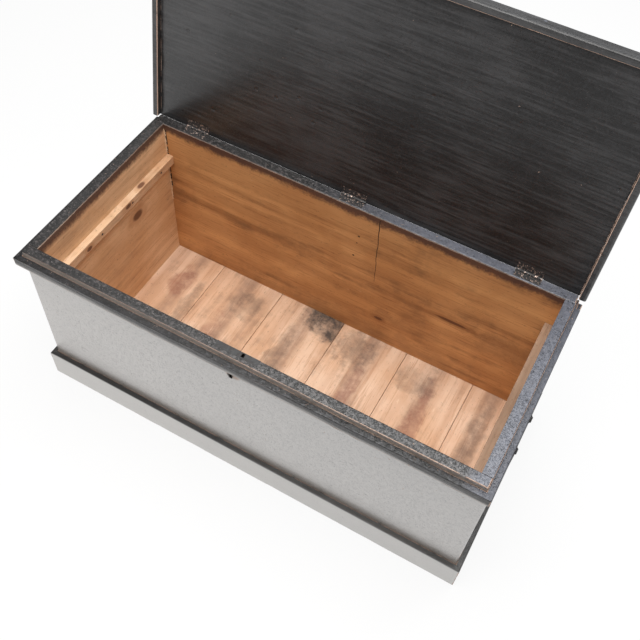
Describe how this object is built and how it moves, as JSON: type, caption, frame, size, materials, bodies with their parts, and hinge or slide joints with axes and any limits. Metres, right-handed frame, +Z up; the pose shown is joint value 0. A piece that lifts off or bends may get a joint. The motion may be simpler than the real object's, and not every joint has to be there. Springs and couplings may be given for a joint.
{
  "type": "storage trunk",
  "caption": "Nailed pine storage trunk on a plinth, with a rim moulding, a lipped lid on butt hinges, a keyhole lock, tray runners inside and drop handles on the ends.",
  "frame": {"origin": "centre of the flat underside that the trunk stands on", "axes": "+X to the right along the front, +Y to the back where the hinges are, +Z up"},
  "size_m": [1.039, 0.5918, 0.921],
  "materials": {
    "painted_pine": "worn gloss black paint, bare pine inside the box",
    "bare_pine": "bare aged pine, stained",
    "dark_iron": "dark iron, painted over and worn"
  },
  "bodies": {
    "box": {"back_board": "painted_pine", "corner_nails": "dark_iron", "floor_board_1": "bare_pine", "floor_board_2": "bare_pine", "floor_board_3": "bare_pine", "floor_board_4": "bare_pine", "floor_board_5": "bare_pine", "floor_board_6": "bare_pine", "floor_nails": "dark_iron", "front_board": "painted_pine", "front_moulding": "painted_pine", "front_plinth": "painted_pine", "hinge_1_box_leaf": "dark_iron", "hinge_1_pin": "dark_iron", "hinge_2_box_leaf": "dark_iron", "hinge_2_pin": "dark_iron", "hinge_3_box_leaf": "dark_iron", "hinge_3_pin": "dark_iron", "hinge_screws_box": "dark_iron", "left_end": "painted_pine", "left_handle_plate": "dark_iron", "left_handle_screws": "dark_iron", "left_moulding": "painted_pine", "left_plinth": "painted_pine", "left_runner": "bare_pine", "lock_cap": "dark_iron", "lock_plate": "dark_iron", "lock_screws": "dark_iron", "moulding_nails": "dark_iron", "plinth_nails": "dark_iron", "right_end": "painted_pine", "right_handle_plate": "dark_iron", "right_handle_screws": "dark_iron", "right_moulding": "painted_pine", "right_plinth": "painted_pine", "right_runner": "bare_pine", "runner_nails": "dark_iron"},
    "lid": {"front_lip": "painted_pine", "hinge_1_lid_leaf": "dark_iron", "hinge_2_lid_leaf": "dark_iron", "hinge_3_lid_leaf": "dark_iron", "hinge_screws_lid": "dark_iron", "left_lip": "painted_pine", "lid_board": "painted_pine", "link_plate": "dark_iron", "link_screws": "dark_iron", "lip_nails": "dark_iron", "right_lip": "painted_pine"},
    "left_bail": {"left_bail": "dark_iron"},
    "right_bail": {"right_bail": "dark_iron"},
    "bolt": {"lock_bolt": "dark_iron"}
  },
  "joints": [
    {"name": "lid_hinge", "type": "hinge", "parent": "box", "child": "lid", "pos_m": [0, 0.237, 0.43725], "axis": [1, 0, 0], "range_deg": [0, 100]},
    {"name": "left_bail_swing", "type": "hinge", "parent": "box", "child": "left_bail", "pos_m": [-0.5115, 0, 0.257], "axis": [0, 1, 0], "range_deg": [0, 170]},
    {"name": "right_bail_swing", "type": "hinge", "parent": "box", "child": "right_bail", "pos_m": [0.5115, 0, 0.257], "axis": [0, -1, 0], "range_deg": [0, 170]},
    {"name": "bolt_slide", "type": "slide", "parent": "box", "child": "bolt", "axis": [1, 0, 0], "range_m": [0, 0.009]}
  ]
}
